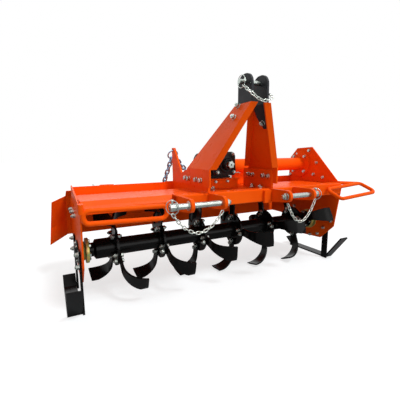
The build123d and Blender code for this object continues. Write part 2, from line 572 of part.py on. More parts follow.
def make_board():
    profile = [(BOARD_TOP_Y, BOARD_TOP_Z), (BOARD_BEND_Y, BOARD_BEND_Z), (BOARD_LOW_Y, BOARD_LOW_Z),
               (BOARD_LIP_Y, BOARD_LIP_Z)]
    board = spread(-BOARD_HALF, BOARD_HALF, strip(profile, BOARD_T))
    forward = Vector(-0.704, -0.680, -0.208)
    wing = extrude(Plane.YZ.offset(-BOARD_HALF) * strip(profile[1:], BOARD_T), amount=2 * WING_REACH, dir=forward)
    low_z = BOARD_LIP_Z - WING_REACH
    trim = Polygon((-BOARD_HALF, BOARD_TOP_Z), (-BOARD_HALF - WING_TOP_REACH, BOARD_BEND_Z),
                   (-BOARD_HALF - WING_REACH, low_z), (-BOARD_HALF, low_z), align=None)
    wing = wing & extrude(Plane.XZ * trim, amount=-BOARD_LIP_Y - WING_REACH)
    parts["tail_board"] = board + wing + mirror(wing, about=Plane.YZ)
    run = Vector(BOARD_BEND_Y - BOARD_TOP_Y, BOARD_BEND_Z - BOARD_TOP_Z).normalized()
    above = Vector(-run.Y, run.X)
    root = Vector(BOARD_TOP_Y, BOARD_TOP_Z) + above * BOARD_T
    end = root + run * 46
    crown = Vector(HINGE_Y, HINGE_Z) + above * KNUCKLE_R
    leaf = Polygon(root, end, end + above * 5, crown, (HINGE_Y, HINGE_Z), align=None)
    bore = Pos(HINGE_Y, HINGE_Z) * Circle(HINGE_R + HINGE_FIT)
    barrel = Pos(HINGE_Y, HINGE_Z) * Circle(KNUCKLE_R)
    foot = Polygon((DECK_REAR_Y + DECK_T, DECK_STRIP_TOP_Z), (DECK_REAR_Y + DECK_T, HINGE_Z - KNUCKLE_R),
                   (HINGE_Y, HINGE_Z - KNUCKLE_R), (HINGE_Y, HINGE_Z + KNUCKLE_R), align=None)
    knuckles = []
    ears = []
    for x in HINGE_PLACES:
        low = x + KNUCKLE_LENGTH / 2 + 1
        knuckles.append(spread(x - KNUCKLE_LENGTH / 2, x + KNUCKLE_LENGTH / 2, leaf + barrel - bore))
        ears.append(spread(low, low + EAR_LENGTH, foot + barrel - bore))
    parts["board_knuckles"] = Compound(knuckles)
    parts["hinge_ears"] = Compound(ears)
    rod_half = HINGE_PLACES[-1] + KNUCKLE_LENGTH / 2 + EAR_LENGTH + 12
    parts["hinge_rod"] = bar_x(-rod_half, rod_half, HINGE_Y, HINGE_Z, HINGE_R)


def make_tail_chain():
    """Chain that holds the board: a ring through the horn's eye and a run of links to each lug."""
    lug = Polygon(on_board(LUG_DOWN - 24, 0), on_board(LUG_DOWN + 24, 0), on_board(LUG_DOWN + 10, LUG_HEIGHT),
                  on_board(LUG_DOWN - 10, LUG_HEIGHT), align=None)
    lugs = []
    for x in (LUG_LEFT_X, LUG_RIGHT_X):
        lugs.append(spread(x - LUG_T / 2, x + LUG_T / 2, lug))
    parts["chain_lugs"] = Compound(lugs)
    eye = Vector(HITCH_X - BRACKET_X, CHAIN_EYE_Y, CHAIN_EYE_Z)
    hold_y, hold_z = on_board(LUG_DOWN - 24, LUG_HEIGHT + 4)
    hang = Vector(0, hold_y - CHAIN_EYE_Y, hold_z - CHAIN_EYE_Z).normalized()
    across = Vector(1, 0, 0).cross(hang)
    wire = TAIL_CHAIN[2]
    centre = eye + hang * CHAIN_RING_R
    pieces = [Plane(centre, z_dir=across) * flat_ring(CHAIN_RING_R, wire)]
    for x in (LUG_LEFT_X, LUG_RIGHT_X):
        run = Vector(x, hold_y, hold_z) - centre
        heading = run.normalized()
        start = centre + heading * (CHAIN_RING_R - 1.5 * wire - 1)
        end = centre + heading * (run.length - CHAIN_CLEARANCE)
        pieces += chain(Line(start, end), TAIL_CHAIN, across)
    parts["tail_chain"] = Compound(pieces)


# ---- Skids and guards ----
def make_skids():
    profile = [(-225, SOLE_Z + 138), (-123, SOLE_Z), (150, SOLE_Z), (205, SOLE_Z + 44)]
    for name, side in (("left", -1), ("right", 1)):
        low, high = sorted((side * (PLATE_OUTER_X + SKID_GAP), side * (PLATE_OUTER_X + SKID_GAP + SKID_W)))
        parts[f"skid_{name}"] = spread(low, high, strip(profile, SKID_T))
        low, high = sorted((side * PLATE_OUTER_X, side * (PLATE_OUTER_X + SKID_GAP)))
        straps = []
        for y in (-118, 140):
            strap = Polygon((y - STRAP_W / 2, SOLE_Z + 1), (y + STRAP_W / 2, SOLE_Z + 1),
                            (y + STRAP_W / 2, 40), (y - STRAP_W / 2, 40), align=None)
            straps.append(spread(low, high, strap))
        parts[f"skid_straps_{name}"] = Compound(straps)


def make_guards():
    """Left guard loop along the front edge of its plate, right one out past the side drive."""
    x = -PLATE_INNER_X - PLATE_T / 2
    lean = 33 / 234
    top = (BEAM_FRONT_Y - ROD_R, BEAM_BOTTOM_Z + 42)

    def at(x, z):
        return (x, top[0] + (top[1] - z) * lean, z)

    guard = loop([at(x + 2, 211), at(x + 12, 162), at(-352, 152), at(-352, 203)])
    stub = Line(at(x + 1, 200), at(x, 236))
    guard += sweep(Plane(stub @ 0, z_dir=stub % 0) * Circle(ROD_R), path=stub)
    parts["guard_loop_left"] = guard
    rear_y = BEAM_FRONT_Y - ROD_R
    front_y = rear_y - 76
    start = PLATE_OUTER_X - 132
    width = 266
    rise = 0.0677
    guard = loop([(start, rear_y, 212), (start + width, rear_y, 212 + width * rise),
                  (start + width + 32, front_y, 169 + (width + 10) * rise), (start + 22, front_y, 169)])
    strut = Line((start + width - 14, rear_y, 230), (PLATE_INNER_X, rear_y + 34, 238))
    strut = sweep(Plane(strut @ 0, z_dir=strut % 0) * Circle(ROD_R), path=strut)
    inside = Pos(PLATE_OUTER_X - 50, rear_y + 34, 238) * Box(100, 100, 100)
    parts["guard_loop_right"] = guard + (strut - inside)


make_rotor()
make_bearings()
make_plates()
make_case()
make_deck()
make_beam()
make_hitch()
make_mast()
make_seat()
make_gearbox()
make_drive_tube()
make_board()
make_tail_chain()
make_skids()
make_guards()

os.makedirs("parts", exist_ok=True)
box = Compound(list(parts.values())).bounding_box()
ground = Pos(-box.center().X, -box.center().Y, -box.min.Z)
for name, shape in parts.items():
    export_step(ground * shape, f"parts/{name}.step")
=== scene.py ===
import json
import logging
import math
from contextlib import contextmanager
from dataclasses import dataclass
from enum import Enum
from typing import Any, Callable, Iterator, Sequence

import bmesh
import bpy
import numpy as np
from mathutils import Euler, Matrix, Vector


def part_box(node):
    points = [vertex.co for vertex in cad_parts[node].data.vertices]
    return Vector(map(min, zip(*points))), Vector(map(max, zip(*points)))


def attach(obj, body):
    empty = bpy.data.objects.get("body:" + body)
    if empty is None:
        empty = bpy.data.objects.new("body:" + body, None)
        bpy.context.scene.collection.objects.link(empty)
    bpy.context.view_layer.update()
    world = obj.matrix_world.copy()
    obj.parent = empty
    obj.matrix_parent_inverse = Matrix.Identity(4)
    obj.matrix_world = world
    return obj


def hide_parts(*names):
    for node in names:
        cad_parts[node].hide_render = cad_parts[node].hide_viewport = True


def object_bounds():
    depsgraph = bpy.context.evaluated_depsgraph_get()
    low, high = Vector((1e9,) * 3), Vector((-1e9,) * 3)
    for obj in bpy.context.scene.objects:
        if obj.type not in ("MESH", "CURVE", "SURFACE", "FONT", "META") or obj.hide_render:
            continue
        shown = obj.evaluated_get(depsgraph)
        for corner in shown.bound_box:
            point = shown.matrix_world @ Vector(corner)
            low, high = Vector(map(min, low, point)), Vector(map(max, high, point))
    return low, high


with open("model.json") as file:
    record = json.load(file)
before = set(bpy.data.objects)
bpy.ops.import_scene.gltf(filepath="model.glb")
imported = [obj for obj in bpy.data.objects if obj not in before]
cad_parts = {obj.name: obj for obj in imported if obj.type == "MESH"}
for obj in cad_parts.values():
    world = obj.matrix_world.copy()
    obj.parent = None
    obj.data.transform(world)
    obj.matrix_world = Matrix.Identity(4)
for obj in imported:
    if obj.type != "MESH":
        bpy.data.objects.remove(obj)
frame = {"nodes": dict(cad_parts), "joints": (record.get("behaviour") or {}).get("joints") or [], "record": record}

LOG = logging.getLogger("rotary_tiller")
MM = 0.001
CAD_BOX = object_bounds()
JOINTS: dict[str, Vector] = {joint["name"]: Vector(joint["pos_m"]) for joint in frame["joints"]}
AXLE = JOINTS["rotor_spin"]
INPUT = JOINTS["pto_spin"]

Piece = bpy.types.Object
Pair = tuple[float, float]
Triple = tuple[float, float, float]
Test = Callable[[Vector, Vector], bool]

LEFT: Triple = (-1.0, 0.0, 0.0)
RIGHT: Triple = (1.0, 0.0, 0.0)
FRONT: Triple = (0.0, -1.0, 0.0)
UP: Triple = (0.0, 0.0, 1.0)
DOWN: Triple = (0.0, 0.0, -1.0)
SIDES = (("left", -1), ("right", 1))


def at(x: float, y: float, z: float) -> Vector:
    """Place given in millimetres from the middle of the rotor's axis."""
    return AXLE + Vector((x, y, z)) * MM


def around(centre: Pair, radius: float, degrees: Sequence[float]) -> list[Pair]:
    """Y and Z of places on a circle that lies across the machine, at angles from Y towards Z."""
    angles = [math.radians(angle) for angle in degrees]
    return [(centre[0] + radius * math.cos(angle), centre[1] + radius * math.sin(angle)) for angle in angles]


# ---- Finishes ----
NOISE_ENDS = (0.3, 0.7)        # most of the noise lies between these
WHITE = (1.0, 1.0, 1.0, 1.0)


class Slot(Enum):
    """Material slots of the record."""

    ORANGE = "orange_paint"
    BLACK = "black_paint"
    CASTING = "black_casting"
    PLASTIC = "black_plastic"
    YELLOW_ZINC = "yellow_zinc"
    EAR = "dark_ear"
    BLUE_ZINC = "blue_zinc"
    BRIGHT_ZINC = "bright_zinc"
    CHAIN_ZINC = "chain_zinc"


def feed(tree: Any, place: Any, value: Any) -> None:
    """Link an input to a socket, or set the input's own value.

    Args:
        tree: The node tree.
        place: The input.
        value: A socket, a number or a colour.
    """
    if isinstance(value, bpy.types.NodeSocket):
        tree.links.new(value, place)
    else:
        place.default_value = value


def wired(tree: Any, kind: str, output: str | int, *values: Any, **named: Any) -> Any:
    """Add a node, set it up and feed its inputs.

    Args:
        tree: The node tree.
        kind: The node's type.
        output: The output that is wanted.
        values: What its first inputs get, in order.
        named: What an input gets, with _ for a space; a name in lower case is one of the node's settings.

    Returns:
        The output's socket.
    """
    node = tree.nodes.new("ShaderNode" + kind)
    for place, value in zip(node.inputs, values):
        feed(tree, place, value)
    for name, value in named.items():
        if name.islower():
            setattr(node, name, value)
        else:
            feed(tree, node.inputs[name.replace("_", " ")], value)
    return node.outputs[output]


def ramp(tree: Any, value: Any, stops: Sequence[tuple[float, Triple]]) -> Any:
    """Add a colour ramp over a value.

    Args:
        tree: The node tree.
        value: The socket that drives it.
        stops: Position and colour of each stop.

    Returns:
        The colour socket.
    """
    node = tree.nodes.new("ShaderNodeValToRGB")
    band = node.color_ramp
    while len(band.elements) < len(stops):
        band.elements.new(0.5)
    for element, (position, colour) in zip(band.elements, stops):
        element.position = position
        element.color = (*colour, 1.0)
    feed(tree, node.inputs["Fac"], value)
    return node.outputs["Color"]


@dataclass(frozen=True)
class Skin:
    """Grain of a kind of surface; a noise has its features to the metre and its octaves, a bump also its height."""

    tone: Triple                                          # the third number is its swirl
    stops: tuple[float, ...]
    gloss: Pair
    bumps: tuple[tuple[float, float, float, float], ...]  # scale, octaves, strength and millimetres
    edge: float = 0.0


@dataclass(frozen=True)
class Finish:
    """A skin in its own colours, gloss and shine."""

    name: str
    skin: Skin
    colours: tuple[Triple, ...]
    gloss: Pair
    shine: dict[str, Any]

    def material(self) -> bpy.types.Material:
        """Build the material.

        Returns:
            The material.
        """
        material = bpy.data.materials.new(self.name)
        material.use_nodes = True
        tree = material.node_tree
        tree.nodes.clear()
        output = tree.nodes.new("ShaderNodeOutputMaterial")
        shader = tree.nodes.new("ShaderNodeBsdfPrincipled")
        feed(tree, output.inputs["Surface"], shader.outputs["BSDF"])
        place = wired(tree, "TexCoord", "Object")

        def noise(scale: float, octaves: float, swirl: float = 0.0) -> Any:
            """Noise over the piece."""
            return wired(tree, "TexNoise", "Fac", Vector=place, Scale=scale, Detail=octaves, Distortion=swirl)

        inputs = dict(self.shine)
        inputs["Base Color"] = ramp(tree, noise(*self.skin.tone), tuple(zip(self.skin.stops, self.colours)))
        inputs["Roughness"] = wired(tree, "MapRange", "Result", noise(*self.skin.gloss), *NOISE_ENDS, *self.gloss)
        normal = {}
        if self.skin.edge:
            normal["Normal"] = wired(tree, "Bevel", "Normal", samples=4, Radius=self.skin.edge * MM)
        for scale, octaves, strength, height in self.skin.bumps:
            normal["Normal"] = wired(tree, "Bump", "Normal", Strength=strength, Distance=height * MM,
                                     Height=noise(scale, octaves), **normal)
        for name, value in (inputs | normal).items():
            feed(tree, shader.inputs[name], value)
        return material


def enamel(peel: float) -> Skin:
    """Sprayed enamel: soft cloudiness, a faint orange peel and long waves."""
    return Skin((5.0, 4.0, 0.4), (0.30, 0.52, 0.80), (23.0, 5.0), ((420.0, 2.0, peel, 0.4), (9.0, 2.0, 0.04, 2.0)), 1.6)


def zinc(patches: float) -> Skin:
    """Zinc plate: patches of tint, dull spots and a fine brushed grain."""
    return Skin((patches, 5.0, 0.8), (0.32, 0.5, 0.68), (140.0, 4.0), ((700.0, 2.0, 0.03, 0.1),))


SAND_CAST = Skin((30.0, 5.0, 0.0), (0.35, 0.75), (70.0, 4.0), ((650.0, 3.0, 0.35, 0.5), (70.0, 2.0, 0.2, 1.2)))
MOULDED = Skin((16.0, 3.0, 0.0), (0.3, 0.8), (90.0, 3.0), ((1400.0, 2.0, 0.25, 0.1),))
FINISHES = {
    Slot.ORANGE: Finish("orange enamel", enamel(0.05),
                        ((0.88, 0.088, 0.003), (0.93, 0.104, 0.004), (0.97, 0.122, 0.006)), (0.24, 0.38),
                        {"Specular IOR Level": 0.07, "Specular Tint": (1.0, 0.5, 0.2, 1.0)}),
    Slot.BLACK: Finish("black enamel", enamel(0.04),
                       ((0.0025, 0.003, 0.0025), (0.004, 0.004, 0.004), (0.008, 0.008, 0.008)), (0.14, 0.24),
                       {"Specular IOR Level": 0.13}),
    Slot.EAR: Finish("satin dark grey", enamel(0.08),
                     ((0.014, 0.016, 0.020), (0.019, 0.022, 0.027), (0.030, 0.034, 0.040)), (0.34, 0.50),
                     {"Specular IOR Level": 0.20}),
    Slot.CASTING: Finish("painted casting", SAND_CAST, ((0.008, 0.008, 0.008), (0.020, 0.020, 0.021)), (0.42, 0.62),
                         {"Specular IOR Level": 0.25}),
    Slot.PLASTIC: Finish("moulded guard", MOULDED, ((0.008, 0.008, 0.008), (0.016, 0.016, 0.017)), (0.45, 0.60),
                         {"Specular IOR Level": 0.25}),
    Slot.YELLOW_ZINC: Finish("yellow zinc", zinc(45.0), ((0.74, 0.56, 0.20), (0.66, 0.62, 0.17), (0.44, 0.60, 0.24)),
                             (0.28, 0.48), {"Metallic": 0.55}),
    Slot.BLUE_ZINC: Finish("blue zinc", zinc(70.0), ((0.50, 0.58, 0.64), (0.38, 0.52, 0.68), (0.26, 0.42, 0.64)),
                           (0.20, 0.42), {"Metallic": 1.0}),
    Slot.BRIGHT_ZINC: Finish("bright zinc", zinc(18.0), ((0.42, 0.45, 0.41), (0.50, 0.55, 0.51), (0.56, 0.61, 0.58)),
                             (0.18, 0.30), {"Metallic": 1.0}),
    Slot.CHAIN_ZINC: Finish("chain zinc", zinc(90.0), ((0.52, 0.56, 0.50), (0.66, 0.71, 0.66), (0.74, 0.78, 0.74)),
                            (0.20, 0.42), {"Metallic": 1.0}),
}


# ---- Bench: modelling by hand with Blender's own tools; lengths in metres ----
FLAT = 0.9        # a face looks a way when its normal goes at least this far along it
SAME = 1e-6       # corners nearer than this are one
HALF_ROUND = 0.5  # profile of a round bevel


def deselect() -> None:
    """Leave nothing selected."""
    bpy.ops.object.select_all(action="DESELECT")


def take(*pieces: Piece) -> None:
    """Select some pieces alone, with the first one active.

    Args:
        pieces: The pieces.
    """
    deselect()
    for piece in pieces:
        piece.select_set(True)
    bpy.context.view_layer.objects.active = pieces[0]


@contextmanager
def shaping(piece: Piece, element: str = "FACE", whole: bool = False) -> Iterator[None]:
    """Edit mode on a piece.

    Args:
        piece: The piece to shape.
        element: VERT, EDGE or FACE.
        whole: Whether it starts with all selected, and not with nothing.
    """
    take(piece)
    bpy.ops.object.mode_set(mode="EDIT")
    bpy.ops.mesh.select_mode(type=element)
    bpy.ops.mesh.select_all(action="SELECT" if whole else "DESELECT")
    yield
    bpy.ops.object.mode_set(mode="OBJECT")


def pick(piece: Piece, test: Test, element: str = "FACE") -> None:
    """Select faces, edges or vertices of the piece in edit mode.

    Args:
        piece: The piece in edit mode.
        test: Says yes to a place and a normal, or for an edge to its middle and its direction.
        element: FACE, EDGE or VERT.
    """
    mesh = bmesh.from_edit_mesh(piece.data)
    for vertex in mesh.verts:
        vertex.select_set(False)
    if element == "FACE":
        for face in mesh.faces:
            face.select_set(test(face.calc_center_median(), face.normal))
    elif element == "EDGE":
        for edge in mesh.edges:
            first, last = (vertex.co for vertex in edge.verts)
            edge.select_set(test((first + last) / 2, (last - first).normalized()))
    else:
        for vertex in mesh.verts:
            vertex.select_set(test(vertex.co, vertex.normal))
    mesh.select_flush_mode()
    bmesh.update_edit_mesh(piece.data)


def looks(*ways: Triple) -> Test:
    """Test for faces that look one of some ways."""
    return lambda place, normal: any(normal.dot(Vector(way)) > FLAT for way in ways)


def draw(length: float, scale: float = 1.0) -> None:
    """Extrude what is selected along Z and resize its end.

    Args:
        length: How far.
        scale: Factor on X and Y.
    """
    bpy.ops.mesh.extrude_region_move(TRANSFORM_OT_translate={"value": (0, 0, length)})
    if scale != 1.0:
        bpy.ops.transform.resize(value=(scale, scale, 1))


def ease(piece: Piece, width: float, steps: int = 1, test: Test = looks(UP)) -> Piece:
    """Bevel the rims of some faces.

    Args:
        piece: The piece.
        width: The bevel's width.
        steps: Its segments.
        test: Picks the faces.

    Returns:
        The piece.
    """
    with shaping(piece):
        pick(piece, test)
        bpy.ops.mesh.bevel(offset=width, segments=steps, profile=HALF_ROUND)
    return piece


def face_outwards() -> None:
    """Point every face of the mesh in edit mode outwards."""
    bpy.ops.mesh.select_all(action="SELECT")
    bpy.ops.mesh.normals_make_consistent(inside=False)


def moved(piece: Piece, matrix: Matrix) -> Piece:
    """Transform a piece's mesh."""
    piece.data.transform(matrix)
    return piece


def quarter(axis: str) -> Matrix:
    """Quarter turn about an axis."""
    return Matrix.Rotation(math.radians(90), 4, axis)


def applied(name: str) -> Piece:
    """Name the primitive just added and put its place in its mesh.

    Args:
        name: The piece's name.

    Returns:
        The piece.
    """
    piece = bpy.context.object
    piece.name = name
    bpy.ops.object.transform_apply(location=True, rotation=True, scale=True)
    return piece


def disc(name: str, radius: float, height: float, sides: int, base: float = 0.0) -> Piece:
    """Upright round or many-sided blank that stands on a level.

    Args:
        name: The piece's name.
        radius: Radius over the corners.
        height: Height along Z.
        sides: Number of sides.
        base: Level of its underside.

    Returns:
        The blank.
    """
    deselect()
    bpy.ops.mesh.primitive_cylinder_add(vertices=sides, radius=radius, depth=height,
                                        location=(0, 0, base + height / 2))
    return applied(name)


def block(name: str, low: Vector, high: Vector) -> Piece:
    """Blank with square corners.

    Args:
        name: The piece's name.
        low: Its low corner.
        high: Its high corner.

    Returns:
        The blank.
    """
    deselect()
    bpy.ops.mesh.primitive_cube_add(size=1, location=(low + high) / 2, scale=high - low)
    return applied(name)


def sheet(radius: float, sides: int) -> Piece:
    """Flat round blank on the origin."""
    bpy.ops.mesh.primitive_circle_add(vertices=sides, radius=radius, fill_type="NGON")
    return bpy.context.object


def hoop(radius: float, wire: float, segments: int, sides: int) -> Piece:
    """Ring about the Z axis, from its middle radius and its wire's radius."""
    bpy.ops.mesh.primitive_torus_add(major_segments=segments, minor_segments=sides, major_radius=radius,
                                     minor_radius=wire)
    return bpy.context.object


def eyelet(radius: float, wire: float, segments: int, level: float) -> Piece:
    """Eye of a split pin standing on edge at a level, in millimetres."""
    return moved(hoop(radius * MM, wire * MM, segments, 8), Matrix.Translation((0, 0, level * MM)) @ quarter("X"))


def smooth(piece: Piece, degrees: float) -> Piece:
    """Shade smooth, with edges sharper than an angle kept."""
    take(piece)
    bpy.ops.object.shade_smooth_by_angle(angle=math.radians(degrees))
    return piece


def joined(name: str, pieces: Sequence[Piece], degrees: float | None = None) -> Piece:
    """Join pieces into one.

    Args:
        name: The new piece's name.
        pieces: What to join.
        degrees: Edges sharper than this are kept when it is shaded smooth; no shading without it.

    Returns:
        The joined piece.
    """
    take(*pieces)
    if len(pieces) > 1:
        bpy.ops.object.join()
    whole = bpy.context.view_layer.objects.active
    whole.name = whole.data.name = name
    if degrees is not None:
        smooth(whole, degrees)
    return whole


def duplicate(master: Piece, matrix: Matrix) -> Piece:
    """Copy of a master with its own mesh.

    Args:
        master: The master piece.
        matrix: Where the copy is laid.

    Returns:
        The copy.
    """
    copy = master.copy()
    copy.data = master.data.copy()
    copy.data.transform(matrix)
    bpy.context.scene.collection.objects.link(copy)
    return copy


def facing(place: Vector, direction: Sequence[float], turn: float = 0.0) -> Matrix:
    """Matrix that stands an upright master on a place, facing a direction.

    Args:
        place: Where its base goes.
        direction: Where its top points.
        turn: Turn about its own axis, in degrees.

    Returns:
        The matrix.
    """
    spin = Matrix.Rotation(math.radians(turn), 4, "Z")
    lean = Vector(UP).rotation_difference(Vector(direction).normalized()).to_matrix().to_4x4()
    return Matrix.Translation(place) @ lean @ spin


@dataclass(frozen=True)
class Spot:
    """Where a fastener sits and which way it faces, in millimetres from the rotor's axis."""

    x: float
    y: float
    z: float
    towards: Triple
    turn: float = 0.0

    def matrix(self) -> Matrix:
        """Matrix for a master that stands upright."""
        return facing(at(self.x, self.y, self.z), self.towards, self.turn)


def row(x: float, places: Sequence[Pair], towards: Triple, step: float, turn: float = 0.0) -> list[Spot]:
    """Spots on a wall across the machine, each turned a step further than the one before."""
    return [Spot(x, y, z, towards, turn + step * n) for n, (y, z) in enumerate(places)]


class Workshop:
    """What every sub-assembly shares: the finishes as materials, each made once, and the count of pieces."""

    def __init__(self) -> None:
        """Build every finish."""
        self.materials = {slot: finish.material() for slot, finish in FINISHES.items()}
        self.count = 0

    def dress_nodes(self) -> None:
        """Give each carried-over CAD node the finish of its slot in the record."""
        for row in frame["record"]["subparts"]:
            node = frame["nodes"][row["node"]]
            finish = self.materials[Slot(row["material_slot"])]
            if not node.data.materials:
                node.data.materials.append(finish)
            for place in node.material_slots:
                place.material = finish

    def fit(self, piece: Piece, body: str, slot: Slot, replaces: Sequence[str] = ()) -> None:
        """Dress a finished piece and let it ride on its body.

        Args:
            piece: The finished piece.
            body: The CAD body that it moves with.
            slot: Its finish.
            replaces: CAD nodes that it stands for.
        """
        piece.data.materials.clear()
        piece.data.materials.append(self.materials[slot])
        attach(piece, body)
        if replaces:
            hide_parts(*replaces)
        self.count += 1
        LOG.info("%s: %d faces on %s", piece.name, len(piece.data.polygons), body)


# ---- Fasteners ----
class Head(Enum):
    """Kinds of fastener."""

    BOLT = "bolt"
    NUT = "nut"
    DOME = "dome"


@dataclass
class Fasteners:
    """Makes hex bolts, nuts on studs and dome-headed bolts; its sizes are shares of the width across the flats."""

    shop: Workshop
    washer_radius: float = 0.62
    washer_height: float = 0.11
    washer_ease: float = 0.03
    dome_radius: float = 0.52
    dome_height: float = 0.34
    dome_ease: float = 0.30
    hex_height: float = 0.55
    hex_ease: float = 0.07
    mark_radius: float = 0.40
    mark_height: float = 0.02
    mark_ease: float = 0.012
    stud_radius: float = 0.31
    stud_root: float = 0.5
    stud_length: float = 0.32
    thread_root: float = 0.86
    threads: int = 4
    tip: Pair = (0.12, 0.8)     # its share of the length, and of the radius

    def master(self, head: Head, flats: float) -> Piece:
        """One fastener that stands on the origin.

        Args:
            head: Its kind.
            flats: Width across the flats, or the dome's width, in millimetres.

        Returns:
            The master piece.
        """
        width = flats * MM
        lift = self.washer_height * width
        washer = ease(disc("washer", self.washer_radius * width, lift, 24), self.washer_ease * width)
        if head is Head.DOME:
            dome = disc("dome", self.dome_radius * width, self.dome_height * width, 24, lift)
            return joined("master", [washer, ease(dome, self.dome_ease * width, 4)], 30)
        nut = ease(disc("hex", width / math.sqrt(3), self.hex_height * width, 6, lift), self.hex_ease * width)
        if head is Head.NUT:
            end = self.thread(self.stud_radius * width, lift + self.stud_root * width, self.stud_length * width)
        else:
            end = disc("face", self.mark_radius * width, self.mark_height * width, 20, lift + self.hex_height * width)
            ease(end, self.mark_ease * width)
        return joined("master", [washer, nut, end], 30)

    def thread(self, radius: float, base: float, length: float) -> Piece:
        """Threaded end of a stud: rings extruded one on another, and a chamfered tip.

        Args:
            radius: Its radius.
            base: Level where it begins.
            length: Its length without the tip.

        Returns:
            The stud's end.
        """
        stud = disc("stud", radius, 0.06 * radius, 16, base)
        step = length / self.threads / 2
        with shaping(stud):
            pick(stud, looks(UP))
            for _ in range(self.threads):
                draw(step, self.thread_root)
                draw(step, 1 / self.thread_root)
            draw(self.tip[0] * length, self.tip[1])
        return stud

    def place(self, name: str, head: Head, flats: float, spots: Sequence[Spot], body: str = "frame",
              slot: Slot = Slot.BRIGHT_ZINC) -> None:
        """Set a group of like fasteners as one piece.

        Args:
            name: The group's name.
            head: Their kind.
            flats: Their width in millimetres.
            spots: Where they sit.
            body: What they ride on.
            slot: Their finish.
        """
        master = self.master(head, flats)
        copies = [duplicate(master, spot.matrix()) for spot in spots]
        bpy.data.objects.remove(master)
        self.shop.fit(joined(name, copies), body, slot)


# ---- Weld beads ----
@dataclass
class Welds:
    """Fillet welds as rippled beads, painted over with what they join."""

    shop: Workshop
    radius: float = 3.2 * MM
    sides: int = 8
    pitch: float = 3.6 * MM
    tip: float = 0.55
    valley: float = 0.84
    last: float = 0.5

    def bead(self, length: float) -> Piece:
        """Straight bead along Z from the origin, its ripples extruded one after another.

        Args:
            length: Its length in metres.

        Returns:
            The bead.
        """
        piece = sheet(self.tip * self.radius, self.sides)
        ripples = max(2, round(length / self.pitch))
        step = length / ripples / 2
        grow = 1 / self.tip
        with shaping(piece, whole=True):
            for index in range(ripples):
                draw(step, grow)
                draw(step, self.valley if index < ripples - 1 else self.last)
                grow = 1 / self.valley
            face_outwards()
        return piece

    def lay(self, name: str, runs: Sequence[tuple[Triple, Triple]]) -> None:
        """Lay beads from place to place.

        Args:
            name: The group's name.
            runs: Start and end of each bead, in millimetres from the rotor's axis.
        """
        beads = []
        for start, end in runs:
            start, way = at(*start), at(*end) - at(*start)
            beads.append(moved(self.bead(way.length), facing(start, way)))
        self.shop.fit(joined(name, beads, 50), "frame", Slot.ORANGE)


# ---- Chains ----
def solids_of(node: str) -> list[np.ndarray]:
    """Corner places of each separate solid of a CAD node, in metres.

    Args:
        node: The node's name.

    Returns:
        One array of places for each solid.
    """
    mesh = frame["nodes"][node].data
    places = np.array([vertex.co for vertex in mesh.vertices])
    keys = np.unique(np.round(places / SAME).astype(np.int64), axis=0, return_inverse=True)[1].reshape(-1)
    corners = keys[np.array([face.vertices for face in mesh.polygons])]
    group, before = np.arange(keys.max() + 1), None
    while before is None or (group != before).any():
        before = group.copy()
        np.minimum.at(group, corners, before[corners].min(axis=1)[:, None])
        group = group[group]
    solids: dict[int, list[int]] = {}
    for vertex, key in enumerate(keys):
        solids.setdefault(int(group[key]), []).append(vertex)
    return [np.unique(np.round(places[solid], 7), axis=0) for solid in solids.values()]


@dataclass
class ChainRun:
    """Links of round wire that take the places of a CAD chain's flat ones."""

    shop: Workshop
    node: str
    body: str
    slot: Slot
    length: float
    width: float
    wire: float
    round_share: float = 0.9
    seam: float = 0.05          # corners this near the middle stay where they are

    def link(self) -> Piece:
        """Oval link in the XY plane, drawn out from a ring along X.

        Returns:
            The link.
        """
        piece = hoop((self.width - self.wire) / 2 * MM, self.wire / 2 * MM, 20, 8)
        reach = (self.length - self.width) / 2 * MM
        for side in (-1, 1):
            with shaping(piece, "VERT"):
                pick(piece, lambda place, normal: side * place.x > self.seam * MM, "VERT")
                bpy.ops.transform.translate(value=(side * reach, 0, 0))
        return smooth(piece, 80)

    def build(self) -> None:
        """Lay a link in the place of each long solid of the node, and a ring in the place of each round one."""
        master = self.link()
        made = []
        for places in solids_of(self.node):
            axes = np.linalg.svd(places - places.mean(0), full_matrices=False)[2]
            reaches = [places @ axis for axis in axes]
            spans = [float(np.ptp(reach)) for reach in reaches]
            middles = [axis * (reach.min() + reach.max()) / 2 for axis, reach in zip(axes, reaches)]
            along, across = Vector(axes[0]), Vector(axes[1])
            turn = Matrix((along, across, along.cross(across))).transposed().to_4x4()
            matrix = Matrix.Translation(Vector(sum(middles, np.zeros(3)))) @ turn
            if spans[1] > self.round_share * spans[0]:
                ring = smooth(hoop((spans[0] - spans[2]) / 2, spans[2] / 2, 40, 12), 80)
                made.append(moved(ring, matrix))
            else:
                made.append(duplicate(master, matrix))
        bpy.data.objects.remove(master)
        self.shop.fit(joined(self.node + "_links", made), self.body, self.slot, (self.node,))


